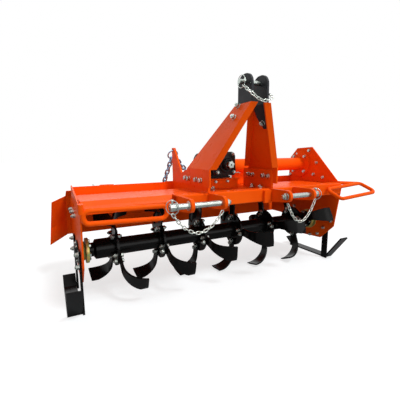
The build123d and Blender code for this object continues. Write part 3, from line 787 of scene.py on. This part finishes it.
# ---- Linch pins ----
@dataclass
class LinchPin:
    """Spring ring through the domed head of a short cross pin."""

    shop: Workshop
    node: str
    host_radius: float
    upright: bool = True
    shank_radius: float = 3.0
    foot: float = 5.0
    foot_ease: float = 1.4
    neck: float = 7.0
    overlap: float = 5.0
    head_height: float = 11.0
    head_share: float = 2.1
    head_ease: float = 3.2
    ring_gap: float = 15.0
    wire: float = 1.5
    ring_turn: float = 42.0

    def build(self) -> None:
        """Model the pin about the origin and set it where its CAD node is."""
        low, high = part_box(self.node)
        host = self.host_radius * MM
        ring_radius = host + self.ring_gap * MM
        centre = (low + high) / 2
        if self.upright:
            centre.z = low.z + ring_radius + self.wire * MM
        else:
            centre.y = high.y - ring_radius - self.wire * MM
        length = 2 * host + (2 * self.foot + self.overlap) * MM
        shank = disc("shank", self.shank_radius * MM, length, 20, -host - self.foot * MM)
        ease(shank, self.foot_ease * MM, 3, looks(DOWN))
        head = disc("head", self.head_share * self.shank_radius * MM, self.head_height * MM, 24, host + self.neck * MM)
        ease(head, self.head_ease * MM, 5, looks(UP, DOWN))
        turn = Matrix.Rotation(math.radians(self.ring_turn), 4, "Z") if self.upright else Matrix()
        ring = moved(hoop(ring_radius, self.wire * MM, 56, 12), turn @ quarter("Y"))
        whole = joined(self.node + "_piece", [shank, head, ring], 40)
        moved(whole, Matrix.Translation(centre) @ (Matrix() if self.upright else quarter("X")))
        self.shop.fit(whole, "frame", Slot.BRIGHT_ZINC, (self.node,))


# ---- Rotor ----
@dataclass
class RotorTrim:
    """Blade bolts through the flanges, and weld rings on the tube."""

    shop: Workshop
    fasteners: Fasteners
    flange_pitch: float = 208.0
    flange_count: int = 6
    flange_half: float = 5.0
    blade_thickness: float = 8.0
    bolt_places: tuple[Pair, ...] = ((58.0, -8.0), (76.0, 5.0))      # radius, and degrees from the blade's middle
    first_angle: float = 35.0
    step_angle: float = -11.5
    weld_radius: float = 38.8
    weld_wire: float = 3.0
    weld_gap: float = 1.2
    ripples: int = 48
    ripple: float = 1.012

    def build(self) -> None:
        """Fit bolts and weld rings."""
        flanges = [(index - (self.flange_count - 1) / 2) * self.flange_pitch for index in range(self.flange_count)]
        heads, nuts = [], []
        for index, x in enumerate(flanges):
            for blade in range(4):
                side = 1 if blade % 2 == 0 else -1
                angle = self.first_angle + self.step_angle * index + 90 * blade
                for radius, swing in self.bolt_places:
                    (y, z), = around((0, 0), -radius, [angle + swing])
                    outer = x + side * (self.flange_half + self.blade_thickness)
                    heads.append(Spot(outer, y, z, (side, 0, 0), 20 * blade))
                    nuts.append(Spot(x - side * self.flange_half, y, z, (-side, 0, 0), 11 * blade))
        self.fasteners.place("blade_bolts", Head.BOLT, 17, heads, "rotor")
        self.fasteners.place("blade_nuts", Head.NUT, 17, nuts, "rotor")
        rings = [self.weld_ring(x + side * (self.flange_half + self.weld_gap)) for x in flanges for side in (-1, 1)]
        self.shop.fit(joined("flange_welds", rings, 50), "rotor", Slot.BLACK)

    def weld_ring(self, x: float) -> Piece:
        """Rippled ring of weld round the tube at a flange.

        Args:
            x: Its place along the rotor.

        Returns:
            The ring.
        """
        middle = self.weld_radius * MM
        piece = hoop(middle, self.weld_wire * MM, self.ripples, 6)
        step = math.radians(360 / self.ripples)
        with shaping(piece, "VERT"):
            pick(piece, lambda place, normal: round(math.atan2(place.y, place.x) / step) % 2 == 0
                 and Vector(place.xy).length > middle, "VERT")
            bpy.ops.transform.resize(value=(self.ripple, self.ripple, 1.0))
        return moved(piece, facing(at(x, 0, 0), RIGHT))


# ---- Gearbox and input ----
@dataclass
class InputShaft:
    """Six-splined input stub with its ball groove, and a collar at its root."""

    shop: Workshop
    radius: float = 17.5
    root: float = 0.86
    length: float = 50.0
    splines: int = 6
    corners: int = 12
    spline_width: float = 32.0
    groove: float = 32.0
    groove_width: float = 5.0
    groove_share: float = 0.90
    chamfer: float = 1.5
    tip: float = 2.0
    setback: float = 2.0
    collar_radius: float = 20.0
    collar_width: float = 8.0

    def build(self) -> None:
        """Model the stub from a circle whose groove corners are drawn in, then extruded."""
        stub = sheet(self.radius * MM, self.corners * self.splines)
        pitch, half_step = 360 / self.splines, 180 / (self.corners * self.splines)
        with shaping(stub, "VERT"):
            pick(stub, lambda place, normal:
                 (math.degrees(math.atan2(place.y, place.x)) + half_step) % pitch > self.spline_width, "VERT")
            bpy.ops.transform.resize(value=(self.root, self.root, 1))
        rest = self.length - self.groove - self.groove_width - 2 * self.chamfer - self.tip
        profile = ((self.groove, 1.0), (self.chamfer, self.groove_share), (self.groove_width, 1.0),
                   (self.chamfer, 1 / self.groove_share), (rest, 1.0), (self.tip, 0.90), (0.0, 0.30), (-6.0, 0.9),
                   (-3.0, 0.1))
        with shaping(stub, whole=True):
            for length, scale in profile:
                draw(length * MM, scale)
            face_outwards()
        collar = ease(disc("collar", self.collar_radius * MM, self.collar_width * MM, 48), 1.0 * MM)
        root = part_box("pto_shaft")[0].y + (self.length + self.setback) * MM
        whole = moved(joined("splined_input", [stub, collar], 30), facing(Vector((INPUT.x, root, INPUT.z)), FRONT))
        self.shop.fit(whole, "pto_shaft", Slot.BRIGHT_ZINC, ("pto_shaft",))


@dataclass
class GearboxTrim:
    """Input cover, ribs, plugs and bolts of the gearbox, the lip of its seat and the web next to it."""

    shop: Workshop
    fasteners: Fasteners
    centre_x: float = 10.0
    front_y: float = -62.0
    input_z: float = 350.0
    cover: tuple[float, float, float, float] = (-50.0, 70.0, 297.0, 411.0)
    cover_thick: float = 9.0
    cover_taper: float = 0.84
    cover_corner: float = 17.0
    cover_bolts: tuple[Pair, ...] = ((-46.0, -37.0), (46.0, -37.0), (-38.0, 50.0), (38.0, 50.0))
    boss_radius: float = 38.0
    boss_height: float = 20.0
    drive: Pair = (95.0, 333.0)
    side_x: float = -64.0
    side_circle: float = 46.0
    seat_bolts: tuple[Pair, ...] = ((-68.0, 8.0), (-68.0, 132.0), (88.0, 8.0), (88.0, 132.0))
    seat_level: float = 278.0
    rib_radius: float = 74.0
    rib_width: float = 5.0
    rib_places: tuple[float, ...] = (-44.0, 0.0, 44.0)
    rib_foot: float = 284.0
    pin_length: float = 30.0
    flange: float = 26.0
    sheet_thick: float = 5.0

    def build(self) -> None:
        """Fit the trim."""
        self.shop.fit(self.input_cover(), "frame", Slot.CASTING, ("pto_guard",))
        face = self.front_y - self.cover_thick
        ring = around(self.drive, self.side_circle, range(30, 390, 60))
        for name, flats, spots in (
                ("cover_bolts", 13, [Spot(self.centre_x + x, face, self.input_z + z, FRONT, 15)
                                     for x, z in self.cover_bolts]),
                ("side_cover_bolts", 13, row(self.side_x, ring, LEFT, 10)),
                ("seat_bolts", 15, [Spot(x, y, self.seat_level, UP, 12) for x, y in self.seat_bolts]),
                ("seat_lip_bolts", 13, [Spot(-26, -35, 265, FRONT, 10), Spot(42, -35, 265, FRONT, 10)]),
                ("filler_plug", 20, [Spot(25, 55, 418, UP, 8)])):
            self.fasteners.place(name, Head.BOLT, flats, spots)
        level = Spot(self.side_x, self.drive[0] - 20, self.drive[1] - 20, LEFT, 22)
        self.fasteners.place("level_plug", Head.DOME, 20, [level], slot=Slot.YELLOW_ZINC)
        self.shop.fit(self.ribs(), "frame", Slot.CASTING)
        self.shop.fit(self.split_pin(), "frame", Slot.CHAIN_ZINC)
        self.shop.fit(self.saddle(), "frame", Slot.ORANGE)
        self.shop.fit(self.seat_lip(), "frame", Slot.ORANGE)

    def input_cover(self) -> Piece:
        """Cast cover with rounded corners, and a stepped boss whose bore clears the input shaft.

        Returns:
            The cover.
        """
        left, right, bottom, top = self.cover
        low, high = at(left, self.front_y - self.cover_thick, bottom), at(right, self.front_y + 1, top)
        plate = block("plate", low, high)
        with shaping(plate, "EDGE"):
            pick(plate, lambda place, normal: place.z > high.z - SAME, "VERT")
            bpy.ops.transform.resize(value=(self.cover_taper, 1, 1))
            pick(plate, lambda place, direction: abs(direction.y) > FLAT, "EDGE")
            bpy.ops.mesh.bevel(offset=self.cover_corner * MM, segments=5, profile=HALF_ROUND)
        ease(plate, 2 * MM, 2, looks(FRONT))
        boss = disc("boss", self.boss_radius * MM, self.boss_height * MM, 72)
        with shaping(boss):
            pick(boss, looks(UP))
            for inset, rise, length, scale in ((3, 2, 0, 1), (5, 0, -6, 1), (4, 0, 28, 0.97), (1.2, 1.2, 0, 1),
                                               (2.6, 0, -40, 1)):
                bpy.ops.mesh.inset(thickness=inset * MM, depth=rise * MM)
                if length:
                    draw(length * MM, scale)
        moved(boss, facing(at(self.centre_x, self.front_y + 1, self.input_z), FRONT))
        return joined("input_cover", [plate, boss], 32)

    def seat_lip(self) -> Piece:
        """Top plate of the seat, standing a little proud of its front."""
        lip = block("seat_lip", at(-91, -43, 272.5), at(111, -34, 279))
        return smooth(ease(lip, 1.6 * MM, 3, looks(FRONT)), 35)

    def ribs(self) -> Piece:
        """Cast ribs round the barrel.

        Returns:
            The ribs.
        """
        rings = []
        for x in self.rib_places:
            ring = ease(disc("rib", self.rib_radius * MM, self.rib_width * MM, 72), 1.5 * MM, 2, looks(UP, DOWN))
            moved(ring, facing(at(self.centre_x + x - self.rib_width / 2, *self.drive), RIGHT))
            with shaping(ring, whole=True):
                bpy.ops.mesh.bisect(plane_co=at(0, 0, self.rib_foot), plane_no=UP, use_fill=True, clear_inner=True)
            rings.append(ring)
        return joined("gearbox_ribs", rings, 35)

    def split_pin(self) -> Piece:
        """Wire pin through the lower cover bolt, with an eye at its end.

        Returns:
            The pin.
        """
        wire = ease(disc("wire", 2.6 * MM, self.pin_length * MM, 14), 0.6 * MM)
        across, up = self.cover_bolts[1]
        place = at(self.centre_x + across, self.front_y - self.cover_thick - 5, self.input_z + up - 3)
        whole = joined("cover_split_pin", [wire, eyelet(3.4, 1.3, 20, self.pin_length)], 40)
        return moved(whole, facing(place, (1, 0, -0.05)))

    def saddle(self) -> Piece:
        """Folded web under the drive tube, next to the gearbox, with its two side flanges drawn out.

        Returns:
            The web.
        """
        low, high = at(164, 93, 231), at(246, 97, 300)
        web = block("drive_tube_saddle", low, high)
        folds = (low.x + self.sheet_thick * MM, high.x - self.sheet_thick * MM)
        with shaping(web):
            for x in folds:
                bpy.ops.mesh.select_all(action="SELECT")
                bpy.ops.mesh.bisect(plane_co=(x, 0, 0), plane_no=RIGHT)
            pick(web, lambda place, normal: normal.y > FLAT and not folds[0] <= place.x <= folds[1])
            bpy.ops.mesh.extrude_region_move(TRANSFORM_OT_translate={"value": (0, self.flange * MM, 0)})
            face_outwards()
        return smooth(web, 30)


# ---- Frame fasteners ----
@dataclass
class FrameFasteners:
    """Bolts of the right end plate, drive flange, mast and front beam."""

    fasteners: Fasteners
    plate_x: float = 666.0
    case_rim: tuple[Pair, ...] = (
        (119, 397), (27, 414), (-33, 342), (-16, 273), (-85, 259), (-160, 14), (-111, -35), (-72, -81), (-16, -99),
        (60, -75), (104, -10), (125, 60), (150, 150), (175, 262), (178, 330))
    flange_x: float = 656.0
    flange_bolts: tuple[Pair, ...] = ((52, 288), (52, 378), (138, 288), (138, 378))
    feet: tuple[tuple[float, tuple[float, ...], float, float], ...] = (
        (-171, (-3, -38, -114, -160), 288, 13), (175, (-32, -68, -150, -186), 294, 17))      # X, every Y, Z, turn
    deck: float = 233.0

    def build(self) -> None:
        """Fit every group."""
        self.fasteners.place("right_plate_bolts", Head.BOLT, 15, row(self.plate_x, self.case_rim, LEFT, 7))
        self.fasteners.place("drive_flange_bolts", Head.BOLT, 15, row(self.flange_x, self.flange_bolts, LEFT, 0, 9))
        feet = [Spot(x, y, z, LEFT, turn * n) for x, places, z, turn in self.feet for n, y in enumerate(places)]
        self.fasteners.place("mast_foot_bolts", Head.BOLT, 19, feet)
        studs = [Spot(x, y, self.deck, UP, turn)
                 for x, y, turn in ((-78, -104, 0), (-92, -74, 20), (160, -80, 0), (160, -146, 15))]
        self.fasteners.place("deck_studs", Head.NUT, 19, studs)
        up_left, down_left = (-0.9, 0.0, 0.44), (-0.9, 0.0, -0.44)
        head = [Spot(-42.9, -250, 595.2, up_left, 5), Spot(-66, -255, 548, up_left, 25),
                Spot(77.4, -260, 531.2, down_left, 5)]
        self.fasteners.place("mast_head_bolts", Head.NUT, 19, head)


# ---- Case, bearings, hinge and skids ----
@dataclass
class CaseTrim:
    """Rim bolts, filler, level and drain plugs of the side drive case."""

    fasteners: Fasteners
    face_x: float = 678.0
    cover_x: float = 712.0
    drive: Pair = (95.0, 333.0)
    rim_top: float = 76.0
    rim_bottom: float = 84.0
    end_steps: tuple[float, ...] = (-60, -20, 20, 60)
    side_shares: tuple[float, ...] = (0.1, 0.37, 0.63, 0.9)

    def build(self) -> None:
        """Fit bolts round the rim and plugs on the cover."""
        y, z = self.drive
        lean = math.degrees(math.atan2(z, y))
        places = around(self.drive, self.rim_top, [lean + step for step in self.end_steps])
        places += around((0, 0), self.rim_bottom, [lean + 180 + step for step in self.end_steps])
        for share in self.side_shares:
            reach = self.rim_bottom + (self.rim_top - self.rim_bottom) * share
            places += around((y * share, z * share), reach, (lean + 90, lean - 90))
        self.fasteners.place("case_rim_bolts", Head.BOLT, 13, row(self.face_x, places, RIGHT, 11))
        plugs = [Spot(self.cover_x, y, z, RIGHT, turn) for y, z, turn in ((95, 372, 0), (40, 120, 10), (0, -56, 20))]
        self.fasteners.place("case_plugs", Head.BOLT, 22, plugs, slot=Slot.YELLOW_ZINC)


@dataclass
class BearingTrim:
    """Plated bearing collars beside the end plates, with their bolts."""

    shop: Workshop
    fasteners: Fasteners
    hub_circle: float = 38.0
    hub_face: float = 632.0
    collar_radius: float = 53.5
    collar_width: float = 13.0
    collar_wall: float = 4.5
    collar_start: float = 644.5
    cap_circle: float = 43.0
    cap_face: float = -678.0

    def build(self) -> None:
        """Fit bolts through housings, hub discs and the outer cap."""
        for name, side in SIDES:
            hub = row(side * self.hub_face, around((0, 0), self.hub_circle, range(15, 375, 60)), (-side, 0, 0), 9)
            self.fasteners.place(f"{name}_hub_bolts", Head.BOLT, 13, hub, "rotor")
            self.shop.fit(self.collar(f"{name}_hub_collar", side), "rotor", Slot.YELLOW_ZINC)
        cap = row(self.cap_face, around((0, 0), self.cap_circle, range(45, 405, 90)), LEFT, 12)
        self.fasteners.place("bearing_cap_bolts", Head.BOLT, 10, cap)

    def collar(self, name: str, side: int) -> Piece:
        """Plated dust collar round the hub disc.

        Args:
            name: The collar's name.
            side: -1 for the left hub, 1 for the right.

        Returns:
            The collar.
        """
        collar = disc(name, self.collar_radius * MM, self.collar_width * MM, 72)
        with shaping(collar):
            pick(collar, looks(UP, DOWN))
            bpy.ops.mesh.inset(thickness=self.collar_wall * MM, depth=0)
            bpy.ops.mesh.delete(type="FACE")
        with shaping(collar, "EDGE"):
            bpy.ops.mesh.select_non_manifold(extend=False, use_boundary=True)
            bpy.ops.mesh.bridge_edge_loops()
            face_outwards()
        bevel = collar.modifiers.new("round", "BEVEL")
        bevel.width = 1.2 * MM
        bevel.segments = 2
        take(collar)
        bpy.ops.object.modifier_apply(modifier=bevel.name)
        return moved(smooth(collar, 35), facing(at(side * self.collar_start, 0, 0), (-side, 0, 0)))


@dataclass
class HingeTrim:
    """Washers and split pins at the ends of the hinge rod."""

    shop: Workshop
    inset: float = 5.0
    pin_length: float = 26.0
    washer_radius: float = 12.0
    washer_gap: float = 4.0

    def build(self) -> None:
        """Fit a washer and a split pin near each end of the rod."""
        low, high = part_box("hinge_rod")
        y, z = (low.y + high.y) / 2, (low.z + high.z) / 2
        pins = []
        for x, inward in ((low.x + self.inset * MM, 1), (high.x - self.inset * MM, -1)):
            wire = disc("wire", 1.6 * MM, self.pin_length * MM, 10, -self.pin_length / 2 * MM)
            pin = joined("pin", [wire, eyelet(3.2, 1.2, 18, 15)])
            pins.append(moved(pin, facing(Vector((x, y, z)), (0, 0.4, 1))))
            washer = ease(disc("washer", self.washer_radius * MM, 2 * MM, 28), 0.6 * MM)
            pins.append(moved(washer, facing(Vector((x + inward * self.washer_gap * MM, y, z)), (inward, 0, 0))))
        self.shop.fit(joined("hinge_rod_pins", pins, 40), "frame", Slot.BRIGHT_ZINC)


@dataclass
class SkidTrim:
    """Bolts that hold the skids' straps to the end plates, and bolts on the left plate."""

    fasteners: Fasteners
    strap_outer: float = 680.0
    plate_outer: float = -672.0
    strap_bolts: tuple[float, ...] = (16, 66)
    plate_bolts: tuple[Pair, ...] = ((207, 147), (250, 140), (117, 150), (31, 147))

    def build(self) -> None:
        """Fit two bolts through each strap, and those of the left plate."""
        for name, side in SIDES:
            spots = []
            for places in solids_of(f"skid_straps_{name}"):
                middle = float(places[:, 1].min() + places[:, 1].max()) / 2 - AXLE.y
                top = float(places[:, 2].max()) - AXLE.z
                spots += [Spot(side * self.strap_outer, middle / MM, top / MM - down, (side, 0, 0), down)
                          for down in self.strap_bolts]
            self.fasteners.place(f"{name}_strap_bolts", Head.NUT, 17, spots)
        self.fasteners.place("left_plate_bolts", Head.NUT, 17, row(self.plate_outer, self.plate_bolts, LEFT, 0, 9))


@dataclass
class HitchTrim:
    """Shoulders, washers and nuts on the two lower hitch pins."""

    shop: Workshop
    fasteners: Fasteners
    axis: Pair = (-322.0, 214.0)
    shoulder_radius: float = 14.5
    washer_radius: float = 18.0
    washer_width: float = 3.5
    washer_starts: Pair = (-308.5, 325.0)
    inner_faces: Pair = (-149.0, 169.0)
    shoulders: tuple[Pair, Pair] = ((-381.0, -353.0), (334.0, 357.0))

    def build(self) -> None:
        """Fit every piece."""
        left, right = self.inner_faces
        nuts = [Spot(left, *self.axis, RIGHT, 10), Spot(right, *self.axis, LEFT, 20)]
        self.fasteners.place("hitch_pin_nuts", Head.NUT, 26, nuts)
        rings = []
        for washer, (start, end) in zip(self.washer_starts, self.shoulders):
            rings += [self.ring(self.washer_radius, self.washer_width, washer),
                      self.ring(self.shoulder_radius, end - start, start)]
        self.shop.fit(joined("hitch_pin_shoulders", rings, 35), "frame", Slot.BRIGHT_ZINC)

    def ring(self, radius: float, width: float, x: float) -> Piece:
        """Turned collar with eased rims, from its radius, its width and where it begins along the pin."""
        ring = ease(disc("collar", radius * MM, width * MM, 40), 1.2 * MM, 2, looks(UP, DOWN))
        return moved(ring, facing(at(x, *self.axis), RIGHT))


@dataclass
class FrameWelds:
    """Weld beads where the hitch ears, brackets, end plates and gearbox seat meet the deck."""

    welds: Welds
    ears: tuple[float, ...] = (-298.0, -156.0, 176.0, 318.0)
    ear_half: float = 8.0
    brackets: tuple[float, ...] = (-167.0, -153.0, 173.0, 187.0)

    def build(self) -> None:
        """Lay the beads."""
        edges = [x + side * self.ear_half for x in self.ears for side in (-1, 1)]
        self.welds.lay("hitch_ear_welds", [((x, -214, 184), (x, -214, 234)) for x in edges])
        self.welds.lay("bracket_welds", [((x, -209, 239), (x, -156, 239)) for x in self.brackets])
        self.welds.lay("deck_welds", (
            ((-664, -150, 233), (-664, 58, 233)), ((664, -150, 233), (664, 58, 233)),
            ((664, -150, 239), (664, -208, 239)), ((-86, -34, 231), (-86, 60, 232)),
            ((106, -34, 231), (106, 60, 232))))


# ---- Studio ----
@dataclass
class Studio:
    """Floor, soft lights, plain world and camera."""

    lens: float = 26.59
    sensor: float = 36.0
    near: float = 0.05
    camera_from_axle: Triple = (-0.7536, -1.2970, 0.4115)
    heading: float = -26.91
    pitch: float = -9.28
    roll: float = -0.35
    floor_size: float = 40.0
    floor_tone: Triple = (0.39, 0.43, 0.45)
    floor_lift: float = 0.68
    world_tone: Triple = (1.0, 0.85, 0.78)
    world_level: float = 0.47
    lamps: tuple[tuple[str, Triple, float, float], ...] = (
        ("key", (0.9, -1.7, 2.8), 14.0, 1.95), ("fill", (0.7, -3.0, 0.2), 50.0, 0.75),
        ("rear", (-0.4, 2.6, 3.0), 60.0, 0.40))

    def build(self) -> None:
        """Set the stage."""
        self.floor()
        self.world()
        for lamp in self.lamps:
            self.lamp(*lamp)
        self.camera()

    def world(self) -> None:
        """World that lights softly, and is white to the camera and in reflections."""
        world = bpy.data.worlds.new("studio")
        bpy.context.scene.world = world
        world.use_nodes = True
        tree = world.node_tree
        tree.nodes.clear()
        plain = wired(tree, "Background", 0, Color=(*self.world_tone, 1.0), Strength=self.world_level)
        white = wired(tree, "Background", 0, Color=WHITE, Strength=1.0)
        rays = tree.nodes.new("ShaderNodeLightPath").outputs
        seen = rays["Is Camera Ray"]
        for other in ("Is Glossy Ray", "Is Transmission Ray"):
            seen = wired(tree, "Math", 0, seen, rays[other], operation="MAXIMUM")
        output = tree.nodes.new("ShaderNodeOutputWorld")
        feed(tree, output.inputs["Surface"], wired(tree, "MixShader", 0, seen, plain, white))

    def floor(self) -> None:
        """Pale floor that keeps the shadow."""
        deselect()
        bpy.ops.mesh.primitive_plane_add(size=self.floor_size, location=(0, 0, CAD_BOX[0].z))
        floor = bpy.context.object
        floor.name = "studio_floor"
        material = bpy.data.materials.new("floor")
        material.use_nodes = True
        tree = material.node_tree
        lift = wired(tree, "Math", 0, wired(tree, "LightPath", "Is Camera Ray"), self.floor_lift, operation="MULTIPLY")
        for name, value in (("Base Color", (*self.floor_tone, 1.0)), ("Roughness", 0.9), ("Specular IOR Level", 0.0),
                            ("Emission Color", WHITE), ("Emission Strength", lift)):
            feed(tree, tree.nodes["Principled BSDF"].inputs[name], value)
        floor.data.materials.append(material)

    def lamp(self, name: str, place: Triple, spread: float, level: float) -> None:
        """Broad soft lamp, the same all over the floor.

        Args:
            name: Its name.
            place: Where it shines from.
            spread: How wide it looks, in degrees.
            level: Its light on a surface that faces it.
        """
        data = bpy.data.lights.new(name, "SUN")
        data.angle = math.radians(spread)
        data.energy = level
        lamp = bpy.data.objects.new(name, data)
        lamp.location = place
        lamp.rotation_euler = (-Vector(place)).to_track_quat("-Z", "Y").to_euler()
        bpy.context.scene.collection.objects.link(lamp)

    def camera(self) -> None:
        """Camera at its place from the rotor's axis."""
        data = bpy.data.cameras.new("camera")
        data.lens = self.lens
        data.sensor_width = self.sensor
        data.clip_start = self.near
        camera = bpy.data.objects.new("camera", data)
        aim = Euler((math.radians(90 + self.pitch), 0, math.radians(self.heading)), "XYZ").to_matrix()
        tilt = Matrix.Rotation(math.radians(self.roll), 3, "Z")
        camera.matrix_world = Matrix.Translation(AXLE + Vector(self.camera_from_axle)) @ (aim @ tilt).to_4x4()
        bpy.context.scene.collection.objects.link(camera)
        bpy.context.scene.camera = camera
        bpy.context.scene.view_settings.view_transform = "Standard"


def main() -> None:
    """Build the sub-assemblies in order."""
    logging.basicConfig(level=logging.INFO, format="%(message)s")
    shop = Workshop()
    shop.dress_nodes()
    fasteners = Fasteners(shop)
    Studio().build()
    for node in ("pin_chain_left", "pin_chain_right", "pin_chain_top"):
        ChainRun(shop, node, "frame", Slot.CHAIN_ZINC, 24.0, 15.0, 4.0).build()
    ChainRun(shop, "tail_chain", "tail_chain", Slot.BLUE_ZINC, 46.0, 30.0, 9.5).build()
    LinchPin(shop, "linch_pin_left", 11.0).build()
    LinchPin(shop, "linch_pin_right", 11.0).build()
    LinchPin(shop, "linch_pin_top", 9.5, upright=False).build()
    RotorTrim(shop, fasteners).build()
    InputShaft(shop).build()
    GearboxTrim(shop, fasteners).build()
    FrameFasteners(fasteners).build()
    CaseTrim(fasteners).build()
    BearingTrim(shop, fasteners).build()
    HingeTrim(shop).build()
    SkidTrim(fasteners).build()
    HitchTrim(shop, fasteners).build()
    FrameWelds(Welds(shop)).build()
    LOG.info("%d new pieces", shop.count)


if __name__ == "__main__":
    main()
